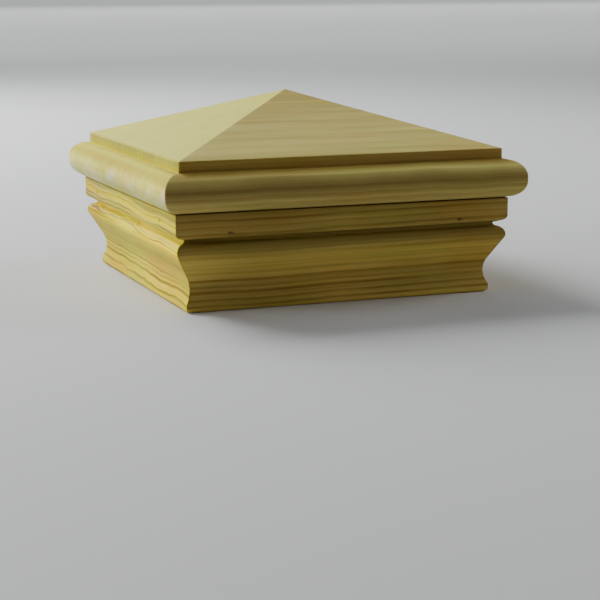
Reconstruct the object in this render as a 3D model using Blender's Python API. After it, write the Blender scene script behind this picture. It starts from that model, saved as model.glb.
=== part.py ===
"""Fence post cap in pressure-treated pine, for a nominal 4x4 post.

A pyramid top with a bullnose edge sits on a mitred frame of four moulding lengths. A plywood plate
lies in a rebate round the inside of the frame, and the end of the post bears on it. Screws pull the
top down onto the plate, brads hold each moulding to the plate's edge, and a staple under each corner
closes its mitre. Nothing moves.

Units are metres and +Z is up. The origin is the middle of the opening, level with the frame's
bottom. -Y is the front and +X is the right.
"""

import math

import bmesh
import bpy
from mathutils import Matrix, Vector

# Driving dimensions
POST_SIDE = 0.0889  # a nominal 4x4 post is 3 1/2 in square
POST_CLEARANCE = 0.00155  # at each side of the post
BOARD_WIDTH = 0.1397  # the top is a square of nominal 2x6 board, 5 1/2 in wide
GAP = 0.0003  # left wherever two pieces meet, and round each fastener
FRAME_HEIGHT = 0.0360

# Pyramid top: half widths measured from the middle, heights from the frame's bottom
TOP_UNDERSIDE = FRAME_HEIGHT + GAP
BULLNOSE_HEIGHT = 0.0139
BULLNOSE_RADIUS = 0.0062
STEP_INSET = 0.0073  # from the bullnose to the upright step above it
STEP_HEIGHT = 0.0040
APEX_HEIGHT = 0.0740
TOP_HALF = BOARD_WIDTH / 2

# Moulding profile: h is the distance from the middle of the cap, z the height
SOCKET_HALF = POST_SIDE / 2 + POST_CLEARANCE
BAND_HALF = 0.0645
BAND_RADIUS = 0.0020
BAND_BOTTOM = 0.02735
BAND_ARC_START = -68  # degrees, where the band's underside meets its round lower edge
QUIRK_HALF = 0.0601
QUIRK_HEIGHT = 0.0263
NOSE_HALF = 0.0640
NOSE_RADIUS = 0.0030
COVE_HALF = 0.0578
COVE_HEIGHT = 0.0082
COVE_RADIUS = 0.0094
SLOPE = 30  # degrees from upright, of the straight between cove and nose
TOE_HALF = 0.0594
TOE_RADIUS = 0.0010

# Seat plate: 15/32 in plywood, flush with the top of the frame, in a rebate in the mouldings' backs
PLATE_THICKNESS = 0.0119
REBATE_DEPTH = 0.0032
PLATE_HALF = SOCKET_HALF + REBATE_DEPTH - GAP
PLATE_UNDERSIDE = FRAME_HEIGHT - PLATE_THICKNESS
PLATE_EDGE_BEVEL = 0.0005

# Brads: 18 gauge, 1 1/4 in long, two in each band
BRAD_LENGTH = 0.0318
BRAD_WIRE_RADIUS = 0.00062
BRAD_HEAD_RADIUS = 0.0010
BRAD_HEAD_THICKNESS = 0.0006
BRAD_TIP = 0.0022
BRAD_SET = 0.0009  # how far the head is sunk in the band
BRAD_FROM_MIDDLE = 0.0445
BRAD_LEAN = 15  # degrees towards the middle
BRAD_HEIGHTS = {"front": 0.0288, "right": 0.0316, "back": 0.0288, "left": 0.0316}
BRAD_SIDES = 10

# Screws: number 8, 1 1/4 in long, with a flat head and a square drive
SCREW_LENGTH = 0.0318
SCREW_HEAD_RADIUS = 0.0041
SCREW_HEAD_RIM = 0.0004
SCREW_HEAD_DEPTH = 0.0031
SCREW_SHANK_RADIUS = 0.00155
SCREW_CORE_RADIUS = 0.00135
SCREW_THREAD_RADIUS = 0.0021
SCREW_PITCH = 0.0028
SCREW_THREAD_START = 0.0105
SCREW_TIP = 0.0060
SCREW_SET = 0.0003
SCREW_FROM_MIDDLE = 0.0270
SCREW_SIDES = 12
DRIVE_SIDE = 0.0028
DRIVE_DEPTH = 0.0024

# Mitre staples: 18 gauge, 1/4 in crown, 5/8 in legs, under the frame's corners
STAPLE_CROWN = 0.0058
STAPLE_LEG = 0.0159
STAPLE_WIRE_WIDTH = 0.00125
STAPLE_WIRE_THICKNESS = 0.00105
STAPLE_TIP = 0.0012
STAPLE_SET = 0.0004
STAPLE_FROM_MIDDLE = 0.0519

CUTTER_REACH = 0.0040  # how far a hole's cutter stands out of the wood
ARC_STEP = 9  # degrees between the points of a round stretch
SHARP_ANGLE = 32  # degrees: flatter edges than this are shaded smooth

SIDES = ("front", "right", "back", "left")  # in turn, anticlockwise from above
CORNERS = {"front_left": (-1, -1), "front_right": (1, -1), "back_right": (1, 1), "back_left": (-1, 1)}


def material(name, colour, roughness, metallic=0.0):
    """A Principled material in one colour."""
    made = bpy.data.materials.new(name)
    made.use_nodes = True
    shader = made.node_tree.nodes["Principled BSDF"]
    shader.inputs["Base Color"].default_value = (*colour, 1)
    shader.inputs["Roughness"].default_value = roughness
    shader.inputs["Metallic"].default_value = metallic
    made.diffuse_color = (*colour, 1)
    return made


def arc(centre, radius, start, end):
    """Points of an arc in the (h, z) plane, both ends included. Angles in degrees, from +h towards +z."""
    steps = max(2, math.ceil(abs(end - start) / ARC_STEP))
    angles = [math.radians(start + (end - start) * i / steps) for i in range(steps + 1)]
    return [(centre[0] + radius * math.cos(a), centre[1] + radius * math.sin(a)) for a in angles]


def finished_object(name, bm, surface=None):
    """An object holding the mesh, shaded smooth except at its edges."""
    bmesh.ops.recalc_face_normals(bm, faces=bm.faces)
    mesh = bpy.data.meshes.new(name)
    bm.to_mesh(mesh)
    bm.free()
    mesh.shade_smooth()
    mesh.set_sharp_from_angle(angle=math.radians(SHARP_ANGLE))
    if surface:
        mesh.materials.append(surface)
    made = bpy.data.objects.new(name, mesh)
    bpy.context.scene.collection.objects.link(made)
    return made


def as_cutter(obj):
    """Marks an object that only cuts holes."""
    obj.hide_render = True
    obj.display_type = "WIRE"
    return obj


def cut(obj, cutter):
    """Cuts the cutter's shape out of the object."""
    hole = obj.modifiers.new("cut " + cutter.name, "BOOLEAN")
    hole.operation = "DIFFERENCE"
    hole.solver = "EXACT"
    hole.object = cutter


# Wood


def top_outline():
    """The top's section from the edge of its underside to just below the apex, as (h, z)."""
    middle = TOP_HALF - BULLNOSE_RADIUS
    ledge = TOP_UNDERSIDE + BULLNOSE_HEIGHT
    step = TOP_HALF - STEP_INSET
    lower = arc((middle, TOP_UNDERSIDE + BULLNOSE_RADIUS), BULLNOSE_RADIUS, -90, 0)
    upper = arc((middle, ledge - BULLNOSE_RADIUS), BULLNOSE_RADIUS, 0, 90)
    return lower + upper + [(step, ledge), (step, ledge + STEP_HEIGHT)]


def pyramid_top(surface):
    """A square board with a bullnose edge, an upright step and four slopes to the apex."""
    bm = bmesh.new()
    rings = [
        [bm.verts.new((x * h, y * h, z)) for x, y in CORNERS.values()] for h, z in top_outline()
    ]
    for lower, upper in zip(rings, rings[1:]):
        for i in range(4):
            bm.faces.new((lower[i], lower[i - 3], upper[i - 3], upper[i]))
    bm.faces.new(rings[0])
    apex = bm.verts.new((0, 0, APEX_HEIGHT))
    for i in range(4):
        bm.faces.new((rings[-1][i], rings[-1][i - 3], apex))
    return finished_object("pyramid_top", bm, surface)


def moulding_outline():
    """The moulding's section as (h, z), round from the bottom of its back."""
    toe = arc((TOE_HALF - TOE_RADIUS, TOE_RADIUS), TOE_RADIUS, -90, 0)
    cove_middle = (COVE_HALF + COVE_RADIUS, COVE_HEIGHT)
    cove_end = 180 + math.degrees(math.acos((cove_middle[0] - TOE_HALF) / COVE_RADIUS))
    cove = arc(cove_middle, COVE_RADIUS, cove_end, 180 - SLOPE)
    # The nose's middle is where its round is tangent to the straight above the cove
    slope = math.radians(SLOPE)
    nose_h = NOSE_HALF - NOSE_RADIUS
    rise = (nose_h + NOSE_RADIUS * math.cos(slope) - cove[-1][0]) / math.tan(slope)
    nose_z = cove[-1][1] + rise + NOSE_RADIUS * math.sin(slope)
    nose = arc((nose_h, nose_z), NOSE_RADIUS, -SLOPE, 90)
    band = arc((BAND_HALF - BAND_RADIUS, BAND_BOTTOM + BAND_RADIUS), BAND_RADIUS, BAND_ARC_START, 0)
    return [
        (SOCKET_HALF, 0),
        *toe,
        *cove,
        *nose,
        (QUIRK_HALF, QUIRK_HEIGHT),
        *band,
        (BAND_HALF, FRAME_HEIGHT),
        (SOCKET_HALF + REBATE_DEPTH, FRAME_HEIGHT),
        (SOCKET_HALF + REBATE_DEPTH, PLATE_UNDERSIDE - GAP),
        (SOCKET_HALF, PLATE_UNDERSIDE - GAP),
    ]


def moulding(side, surface):
    """One side of the frame, mitred at both ends. It is made as the front and turned into place."""
    pull_back = GAP / 2 * math.sqrt(2)
    bm = bmesh.new()
    ends = [
        [bm.verts.new((x * (h - pull_back), -h, z)) for h, z in moulding_outline()] for x in (-1, 1)
    ]
    for end in ends:
        bm.faces.new(end)
    count = len(ends[0])
    for i in range(count):
        bm.faces.new((ends[0][i], ends[0][i - 1], ends[1][i - 1], ends[1][i]))
    made = finished_object("moulding_" + side, bm, surface)
    made.rotation_euler.z = side_turn(side)
    return made


def seat_plate(surface):
    """The plywood square inside the frame, which the end of the post bears on."""
    bm = bmesh.new()
    size = Vector((2 * PLATE_HALF, 2 * PLATE_HALF, PLATE_THICKNESS))
    bmesh.ops.create_cube(bm, size=1, matrix=Matrix.Diagonal((*size, 1)))
    bmesh.ops.bevel(
        bm, geom=list(bm.edges), offset=PLATE_EDGE_BEVEL, segments=1, affect="EDGES", clamp_overlap=True
    )
    made = finished_object("seat_plate", bm, surface)
    made.location.z = PLATE_UNDERSIDE + PLATE_THICKNESS / 2
    return made


# Fasteners. Each is made with its head at the origin, pointing along +Z.


def turned(name, rows, sides, surface=None):
    """A solid of rows of points round the Z axis. A row is (radius, z), or a list of one radius for each side and z."""
    bm = bmesh.new()
    rings = []
    for radius, z in rows:
        radii = radius if isinstance(radius, list) else [radius] * sides
        turn = [(r, 2 * math.pi * i / sides) for i, r in enumerate(radii)]
        rings.append([bm.verts.new((r * math.cos(a), r * math.sin(a), z)) for r, a in turn])
    for lower, upper in zip(rings, rings[1:]):
        for i in range(sides):
            bm.faces.new((lower[i - 1], lower[i], upper[i], upper[i - 1]))
    bm.faces.new(rings[0])
    bm.faces.new(rings[-1])
    return finished_object(name, bm, surface)


def brad(name, surface):
    """A round wire nail with a small head and a sharp end."""
    rows = [
        (BRAD_HEAD_RADIUS, 0),
        (BRAD_HEAD_RADIUS, BRAD_HEAD_THICKNESS),
        (BRAD_WIRE_RADIUS, 2 * BRAD_HEAD_THICKNESS),
        (BRAD_WIRE_RADIUS, BRAD_LENGTH - BRAD_TIP),
        (BRAD_WIRE_RADIUS / 5, BRAD_LENGTH),
    ]
    return turned(name, rows, BRAD_SIDES, surface)


def brad_hole(name):
    """The hole that a brad leaves: its own shape with a gap round it, open at the head."""
    rows = [
        (BRAD_HEAD_RADIUS + GAP, -CUTTER_REACH),
        (BRAD_HEAD_RADIUS + GAP, BRAD_HEAD_THICKNESS + GAP),
        (BRAD_WIRE_RADIUS + GAP, 2 * BRAD_HEAD_THICKNESS + GAP),
        (BRAD_WIRE_RADIUS + GAP, BRAD_LENGTH + GAP),
    ]
    return as_cutter(turned(name, rows, BRAD_SIDES))


def thread_row(z):
    """The radii round a screw at depth z, where one ridge climbs once round in each pitch."""
    taper = min(1, max(0.08, (SCREW_LENGTH - z) / SCREW_TIP))
    height = SCREW_THREAD_RADIUS - SCREW_CORE_RADIUS
    radii = []
    for i in range(SCREW_SIDES):
        phase = (z / SCREW_PITCH - i / SCREW_SIDES) % 1
        ridge = max(0, 1 - abs(phase - 0.5) * 4)
        radii.append((SCREW_CORE_RADIUS + height * ridge) * taper)
    return radii


def screw(name, surface):
    """A flat-headed wood screw with a square drive."""
    thread_rows = 4 * math.ceil((SCREW_LENGTH - SCREW_THREAD_START) / SCREW_PITCH)
    step = (SCREW_LENGTH - SCREW_THREAD_START) / thread_rows
    depths = [SCREW_THREAD_START + step * i for i in range(1, thread_rows + 1)]
    rows = [
        (SCREW_HEAD_RADIUS, 0),
        (SCREW_HEAD_RADIUS, SCREW_HEAD_RIM),
        (SCREW_SHANK_RADIUS, SCREW_HEAD_DEPTH),
        (SCREW_SHANK_RADIUS, SCREW_THREAD_START),
        *[(thread_row(z), z) for z in depths],
    ]
    made = turned(name, rows, SCREW_SIDES, surface)
    bm = bmesh.new()
    socket = Matrix.Diagonal((DRIVE_SIDE, DRIVE_SIDE, 2 * DRIVE_DEPTH, 1))
    bmesh.ops.create_cube(bm, size=1, matrix=socket)
    drive = as_cutter(finished_object("drive of " + name, bm))
    drive.parent = made
    cut(made, drive)
    return made


def screw_hole(name):
    """A countersunk hole with a gap round the screw's head and thread."""
    bore = SCREW_THREAD_RADIUS + GAP
    rim = SCREW_HEAD_RADIUS + GAP
    rows = [
        (rim, -CUTTER_REACH),
        (rim, SCREW_HEAD_RIM + GAP),
        (bore, SCREW_HEAD_DEPTH + GAP),
        (bore, SCREW_LENGTH + GAP),
    ]
    return as_cutter(turned(name, rows, SCREW_SIDES))


def staple_shape(name, grow=0.0, reach=0.0, surface=None):
    """A staple, or with grow the slot round one, which reaches out of the wood above the crown."""
    outer = STAPLE_CROWN / 2 + grow
    inner = STAPLE_CROWN / 2 - STAPLE_WIRE_WIDTH - grow
    crown = STAPLE_WIRE_THICKNESS + grow
    point = STAPLE_LEG + grow
    shoulder = point - STAPLE_TIP
    half_outline = [(outer, -reach), (outer, shoulder), (inner, point), (inner, crown)]
    outline = half_outline + [(-x, z) for x, z in reversed(half_outline)]
    bm = bmesh.new()
    half_depth = STAPLE_WIRE_THICKNESS / 2 + grow
    face = bm.faces.new([bm.verts.new((x, -half_depth, z)) for x, z in outline])
    made = bmesh.ops.extrude_face_region(bm, geom=[face])
    moved = [v for v in made["geom"] if isinstance(v, bmesh.types.BMVert)]
    bmesh.ops.translate(bm, verts=moved, vec=(0, 2 * half_depth, 0))
    return finished_object(name, bm, surface)


# Places


def side_turn(side):
    """The turn about Z that carries the front of the cap to this side, in radians."""
    return SIDES.index(side) * math.pi / 2


def place(objects, matrix):
    """Puts each object where the matrix says."""
    for obj in objects:
        obj.matrix_world = matrix


def band_face(z):
    """How far the band's outer face is from the middle of the cap at height z."""
    below = BAND_BOTTOM + BAND_RADIUS - z
    if below <= 0:
        return BAND_HALF
    return BAND_HALF - BAND_RADIUS + math.sqrt(BAND_RADIUS**2 - below**2)


def add_brads(mouldings, plate, surface):
    """Two brads in each band, driven through the moulding into the plate's edge."""
    for side in SIDES:
        height = BRAD_HEIGHTS[side]
        for end, sign in (("left", -1), ("right", 1)):
            name = f"brad_{side}_{end}"
            nail = brad(name, surface)
            hole = brad_hole("hole of " + name)
            lean = math.radians(BRAD_LEAN)
            along = Vector((-sign * math.sin(lean), math.cos(lean), 0))
            start = Vector((sign * BRAD_FROM_MIDDLE, -band_face(height), height)) + BRAD_SET * along
            aim = along.to_track_quat("Z", "Y").to_matrix().to_4x4()
            turn = Matrix.Rotation(side_turn(side), 4, "Z")
            place((nail, hole), turn @ Matrix.Translation(start) @ aim)
            cut(mouldings[side], hole)
            cut(plate, hole)


def add_screws(top, plate, surface):
    """Four screws driven up through the plate into the top."""
    for corner, (x, y) in CORNERS.items():
        name = "plate_screw_" + corner
        head = (x * SCREW_FROM_MIDDLE, y * SCREW_FROM_MIDDLE, PLATE_UNDERSIDE + SCREW_SET)
        fastener = screw(name, surface)
        hole = screw_hole("hole of " + name)
        place((fastener, hole), Matrix.Translation(head))
        cut(plate, hole)
        cut(top, hole)


def add_staples(mouldings, surface):
    """A staple under each corner of the frame, with a leg on each side of the mitre."""
    for number, (corner, (x, y)) in enumerate(CORNERS.items()):
        name = "mitre_staple_" + corner
        staple = staple_shape(name, surface=surface)
        slot = as_cutter(staple_shape("slot of " + name, grow=GAP, reach=CUTTER_REACH))
        head = (x * STAPLE_FROM_MIDDLE, y * STAPLE_FROM_MIDDLE, STAPLE_SET)
        across = Matrix.Rotation(math.atan2(y, x) + math.pi / 2, 4, "Z")
        place((staple, slot), Matrix.Translation(head) @ across)
        for side in (SIDES[number - 1], SIDES[number]):
            cut(mouldings[side], slot)


def main():
    for obj in list(bpy.data.objects):
        bpy.data.objects.remove(obj)
    board = material("treated_pine_top", (0.62, 0.52, 0.30), 0.62)
    trim = material("treated_pine_moulding", (0.58, 0.43, 0.17), 0.58)
    plywood = material("treated_plywood", (0.55, 0.42, 0.24), 0.70)
    steel = material("galvanised_steel", (0.56, 0.57, 0.57), 0.42, 1.0)
    top = pyramid_top(board)
    plate = seat_plate(plywood)
    mouldings = {side: moulding(side, trim) for side in SIDES}
    add_screws(top, plate, steel)
    add_brads(mouldings, plate, steel)
    add_staples(mouldings, steel)


main()
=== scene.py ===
"""Looks of the fence post cap: pressure-treated pine, plywood and galvanised fasteners.

Every piece is built again with its true rounds and eased edges, in the place of its CAD node, and
wears a procedural material. Wood is a solid pattern: growth rings run through the whole piece, and
the top's slopes and end grain have colours of their own on it. Units are metres.
"""

import math
from types import SimpleNamespace

import bmesh
import bpy
import numpy as np
from mathutils import Matrix, Vector


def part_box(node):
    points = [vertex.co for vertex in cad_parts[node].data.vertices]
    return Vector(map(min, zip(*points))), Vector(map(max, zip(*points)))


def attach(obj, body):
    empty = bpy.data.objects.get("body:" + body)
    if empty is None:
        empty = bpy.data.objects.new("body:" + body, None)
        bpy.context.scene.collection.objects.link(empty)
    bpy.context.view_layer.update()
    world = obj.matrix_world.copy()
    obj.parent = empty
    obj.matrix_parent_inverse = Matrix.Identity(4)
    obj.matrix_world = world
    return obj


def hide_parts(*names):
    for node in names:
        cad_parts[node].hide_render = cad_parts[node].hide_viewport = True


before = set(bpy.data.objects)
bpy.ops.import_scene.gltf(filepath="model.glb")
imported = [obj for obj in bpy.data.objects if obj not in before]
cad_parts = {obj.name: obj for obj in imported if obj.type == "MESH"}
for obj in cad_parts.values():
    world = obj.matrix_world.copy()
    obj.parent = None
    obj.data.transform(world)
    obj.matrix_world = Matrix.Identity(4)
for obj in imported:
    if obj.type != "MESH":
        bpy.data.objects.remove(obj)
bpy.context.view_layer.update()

MM = 0.001
SIDES = ("front", "right", "back", "left")  # in turn, anticlockwise from above
ENDS = ("left", "right")
ACROSS, FRONT_TO_BACK, UP = (1, 0, 0), (0, 1, 0), (0, 0, 1)
CORNERS = {"front_left": (-1, -1), "front_right": (1, -1), "back_right": (1, 1), "back_left": (-1, 1)}

# Sizes that the frame gives
TOP_LOW, TOP_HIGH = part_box("pyramid_top")
SKIRT_LOW, SKIRT_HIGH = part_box("moulding_front")
PLATE_LOW, PLATE_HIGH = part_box("seat_plate")
TOP_HALF = TOP_HIGH.x - 0.001 * MM  # a hair inside
BAND_HALF = -SKIRT_LOW.y
SOCKET_HALF = -SKIRT_HIGH.y
SKIRT_TOP = SKIRT_HIGH.z

# Outline of the top
BULLNOSE_HEIGHT = 13.9 * MM
BULLNOSE_RADIUS = 6.2 * MM
STEP_INSET = 7.3 * MM
STEP_HEIGHT = 4.0 * MM
APEX_ROUND = 0.5 * MM

# Outline of the moulding: h is the distance from the cap's middle, z the height
BAND_RADIUS = 2.0 * MM
BAND_BOTTOM = 27.35 * MM
BAND_ARC_START = -68
QUIRK = (60.1 * MM, 26.3 * MM)
NOSE_HALF = 64.0 * MM
NOSE_RADIUS = 3.0 * MM
COVE_HALF = 57.8 * MM
COVE_HEIGHT = 8.2 * MM
COVE_RADIUS = 9.4 * MM
SLOPE = 30
FOOT_HALF = 59.4 * MM
FOOT_RADIUS = 1.5 * MM
FOOT_ARC_END = 12
REBATE_DEPTH = 3.2 * MM
REBATE_GAP = 0.3 * MM
MITRE_GAP = 0.24 * MM
END_EASE = 0.1 * MM

ARC_STEP = 4  # degrees between the points of a round stretch
EASE = 0.35 * MM  # radius of an eased edge
CORNER_EASE = 0.12 * MM  # and of the top's four corners
LENGTH_STEPS = 16  # how many lengths each long run is divided into
SLOPE_STEPS = 12  # and each slope of the top, from its foot to the apex
SHARP_ANGLE = math.radians(28)

# Fasteners: radii, and places along them from the head
HOLE_GAP = 0.12 * MM
BRAD_SET = 0.9 * MM  # how far the brads are driven below the surface
BRAD_HEAD = 1.0 * MM
BRAD_WIRE = 0.62 * MM
BRAD_HOLE_END = 32.0 * MM
SCREW_HEAD = 4.1 * MM
SCREW_HOLE = 2.1 * MM
PILOT_HOLE = 2.35 * MM
PILOT_END = 32.2 * MM
SCREW_END = 31.75 * MM
THREAD_START = 10.4 * MM
THREAD_STEPS = 76
THREAD_PITCH = 2.8 * MM
THREAD_CORE = 1.35 * MM
THREAD_RIDGE = 0.74 * MM

# Materials
RING_START = -8  # in mm, where curves over the rings start
RING_SPAN = 60  # and how much they span
LENGTH_SPAN = 140  # that of curves along a piece
END_SPAN = 20  # and of the end grain's zones
LEFT_END, RIGHT_END = -1, 1  # the sign of x, seen from outside the piece
PLY_PAIR = 4.76 * MM  # two crossed plies of the plate

# Camera
CAMERA_AIM = Vector((4.67, -3.65, -9.31)) * MM
CAMERA_AZIMUTH = -20.92
CAMERA_ELEVATION = 10.72
CAMERA_ROLL = math.radians(-0.193)
CAMERA_DISTANCE = 676.3 * MM
CAMERA_LENS = 102.12

# Lights: (name, azimuth, elevation, distance and size in metres, power)
LIGHTS_MIDDLE = Vector((0, 0, 0.04))
CAP_LIGHTS = [
    ("key", -155, 33, 1.2, (0.75, 0.75), 24),
    ("left", -92, 9, 1.2, (0.75, 0.75), 8.9),
    ("right", 88, 28, 1.2, (0.75, 0.75), 6),
    ("front", 35, 8, 0.65, (0.5, 0.1), 0.34),
    ("backdrop", 180, 35, 5.5, (5.0, 3.0), 60),
]
FLOOR_LIGHTS = [
    ("floor_behind", 160, 16.7, 4.25, (8.0, 5.0), 105),
    ("far_floor", 155, 16, 11.2, (14.0, 9.0), 340),
]
FLOOR_LIGHT_SPREAD = math.radians(100)  # narrow, so that next to none of it reaches the cap
FLOOR_RADIUS = 20.0


# Outlines


def arc(centre, radius, start, end, step=ARC_STEP):
    """Points of an arc in the (h, z) plane. Angles in degrees, from +h towards +z."""
    steps = max(2, math.ceil(abs(end - start) / step))
    angles = [math.radians(start + (end - start) * i / steps) for i in range(steps + 1)]
    return [(centre[0] + radius * math.cos(a), centre[1] + radius * math.sin(a)) for a in angles]


def eased(points, radius, closed=True, least_turn=15):
    """The outline with an arc of this radius, or of what fits, in place of each sharp corner."""
    result = []
    count = len(points)
    for i, point in enumerate(points):
        if not closed and i in (0, count - 1):
            result.append(point)
            continue
        corner = Vector(point)
        back = Vector(points[i - 1]) - corner
        ahead = Vector(points[(i + 1) % count]) - corner
        turn = math.pi - back.angle(ahead)
        if math.degrees(turn) < least_turn:
            result.append(point)
            continue
        reach = min(radius * math.tan(turn / 2), 0.45 * back.length, 0.45 * ahead.length)
        start = corner + back.normalized() * reach
        end = corner + ahead.normalized() * reach
        middle = corner + (back.normalized() + ahead.normalized()).normalized() * reach / math.sin(turn / 2)
        steps = max(2, math.ceil(math.degrees(turn) / 15))
        result.append(tuple(start))
        for k in range(1, steps):
            found = middle + (start - middle).slerp(end - middle, k / steps) * (start - middle).length
            result.append(tuple(found))
        result.append(tuple(end))
    return result


def top_outline():
    """The top's section, from its underside's edge to the apex, as (h, z)."""
    middle = TOP_HALF - BULLNOSE_RADIUS
    ledge = TOP_LOW.z + BULLNOSE_HEIGHT
    step = TOP_HALF - STEP_INSET
    lower = arc((middle, TOP_LOW.z + BULLNOSE_RADIUS), BULLNOSE_RADIUS, -90, 0)
    upper = arc((middle, ledge - BULLNOSE_RADIUS), BULLNOSE_RADIUS, 0, 90)
    slope_start = (step, ledge + STEP_HEIGHT)
    rise = math.atan2(TOP_HIGH.z - slope_start[1], step)
    peak_h = APEX_ROUND * math.sin(rise)
    peak_z = TOP_HIGH.z - APEX_ROUND + APEX_ROUND * math.cos(rise)
    sloped = []
    for i in range(1, SLOPE_STEPS):
        share = i / SLOPE_STEPS
        sloped.append((step * (1 - share), slope_start[1] + (peak_z - slope_start[1]) * share))
    outline = lower + upper + [(step, ledge), slope_start] + sloped + [(peak_h, peak_z)]
    return eased(outline, EASE, closed=False) + [(peak_h / 3, TOP_HIGH.z)]


def moulding_outline():
    """The moulding's section as (h, z), round from the bottom of its back."""
    foot = arc((FOOT_HALF - FOOT_RADIUS, FOOT_RADIUS), FOOT_RADIUS, -90, FOOT_ARC_END)
    cove_middle = (COVE_HALF + COVE_RADIUS, COVE_HEIGHT)
    cove_end = 180 + math.degrees(math.acos((cove_middle[0] - foot[-1][0]) / COVE_RADIUS))
    cove = arc(cove_middle, COVE_RADIUS, cove_end, 180 - SLOPE)
    slope = math.radians(SLOPE)
    nose_h = NOSE_HALF - NOSE_RADIUS
    rise = (nose_h + NOSE_RADIUS * math.cos(slope) - cove[-1][0]) / math.tan(slope)
    nose_z = cove[-1][1] + rise + NOSE_RADIUS * math.sin(slope)
    nose = arc((nose_h, nose_z), NOSE_RADIUS, -SLOPE, 90)
    band = arc((BAND_HALF - BAND_RADIUS, BAND_BOTTOM + BAND_RADIUS), BAND_RADIUS, BAND_ARC_START, 0)
    shoulder = PLATE_LOW.z - REBATE_GAP
    outline = [
        (SOCKET_HALF, 0),
        *foot,
        *cove,
        *nose,
        QUIRK,
        *band,
        (BAND_HALF, SKIRT_TOP),
        (SOCKET_HALF + REBATE_DEPTH, SKIRT_TOP),
        (SOCKET_HALF + REBATE_DEPTH, shoulder),
        (SOCKET_HALF, shoulder),
    ]
    return eased(outline, EASE)


def shrunk(points, distance):
    """A closed anticlockwise outline moved into the solid by a distance."""
    result = []
    for i, point in enumerate(points):
        ahead = (Vector(points[(i + 1) % len(points)]) - Vector(point)).normalized()
        back = (Vector(point) - Vector(points[i - 1])).normalized()
        along = (ahead + back).normalized()
        inward = Vector((-along.y, along.x))
        moved = Vector(point) + inward * distance / max(0.5, along.dot(ahead))
        result.append((moved.x, moved.y))
    return result


# Pieces


def mesh_object(name, bm):
    """A new object in the scene that holds the mesh, which must close up."""
    bmesh.ops.recalc_face_normals(bm, faces=bm.faces)
    mesh = bpy.data.meshes.new(name)
    bm.to_mesh(mesh)
    bm.free()
    made = bpy.data.objects.new(name, mesh)
    bpy.context.scene.collection.objects.link(made)
    return made


def bridge(bm, rings, closed_ends=True):
    """Quads between each ring of vertices and the next, with a face at either end."""
    for lower, upper in zip(rings, rings[1:]):
        for i in range(len(lower)):
            bm.faces.new((lower[i - 1], lower[i], upper[i], upper[i - 1]))
    if closed_ends:
        bm.faces.new(rings[0])
        bm.faces.new(rings[-1])


def carve(piece, cutters):
    """Cuts the cutters out of the piece, then removes them."""
    for cutter in cutters:
        hole = piece.modifiers.new("hole", "BOOLEAN")
        hole.operation = "DIFFERENCE"
        hole.solver = "EXACT"
        hole.object = cutter
    graph = bpy.context.evaluated_depsgraph_get()
    cut_mesh = bpy.data.meshes.new_from_object(piece.evaluated_get(graph), depsgraph=graph)
    piece.modifiers.clear()
    piece.data = cut_mesh
    for cutter in cutters:
        bpy.data.objects.remove(cutter)


def finish_piece(piece, node, surface, turn=0.0):
    """Shades the piece, gives it its material and its place, and stores its grain coordinates.

    The grain coordinates are the piece's own, before its turn about Z, in metres."""
    mesh = piece.data
    mesh.shade_smooth()
    mesh.set_sharp_from_angle(angle=SHARP_ANGLE)
    mesh.materials.clear()
    mesh.materials.append(surface)
    places = np.empty(len(mesh.vertices) * 3, np.float32)
    mesh.vertices.foreach_get("co", places)
    grain = mesh.attributes.new("grain", "FLOAT_VECTOR", "POINT")
    grain.data.foreach_set("vector", places)
    mesh.transform(Matrix.Rotation(turn, 4, "Z"))
    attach(piece, "root")
    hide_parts(node)
    return piece


def side_turn(side):
    """The turn about Z that carries the front of the cap to this side, in radians."""
    return SIDES.index(side) * math.pi / 2


def line_of(node):
    """(middle of the head end, direction) of a long CAD fastener, from its own points."""
    points = np.array([v.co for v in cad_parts[node].data.vertices], float)
    middle = points.mean(0)
    along = np.linalg.svd(points - middle)[2][0]
    reach = (points - middle) @ along
    across = np.linalg.norm(points - middle - np.outer(reach, along), axis=1)
    if across[reach < 0].max() < across[reach > 0].max():
        along, reach = -along, -reach
    head = points[reach < reach.min() + 0.1 * MM].mean(0)
    return Vector(head), Vector(along)


def standing_at(head, along):
    """The matrix that carries the origin and +Z to a place and a direction."""
    return Matrix.Translation(head) @ along.to_track_quat("Z", "Y").to_matrix().to_4x4()


def turned(name, rows, sides):
    """A solid of (radius, z) rows round Z, or of (function of the angle, z) rows."""
    bm = bmesh.new()
    rings = []
    for radius, z in rows:
        angles = [2 * math.pi * i / sides for i in range(sides)]
        radii = [radius(a) if callable(radius) else radius for a in angles]
        rings.append([bm.verts.new((r * math.cos(a), r * math.sin(a), z)) for r, a in zip(radii, angles)])
    bridge(bm, rings)
    return mesh_object(name, bm)


def bored(node, rows, sides, back=Matrix.Identity(4)):
    """A cutter of these rows on a fastener's line, for a piece that is still to be turned."""
    hole = turned("hole", rows, sides)
    hole.matrix_world = back @ standing_at(*line_of(node))
    return hole


# Materials


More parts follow.
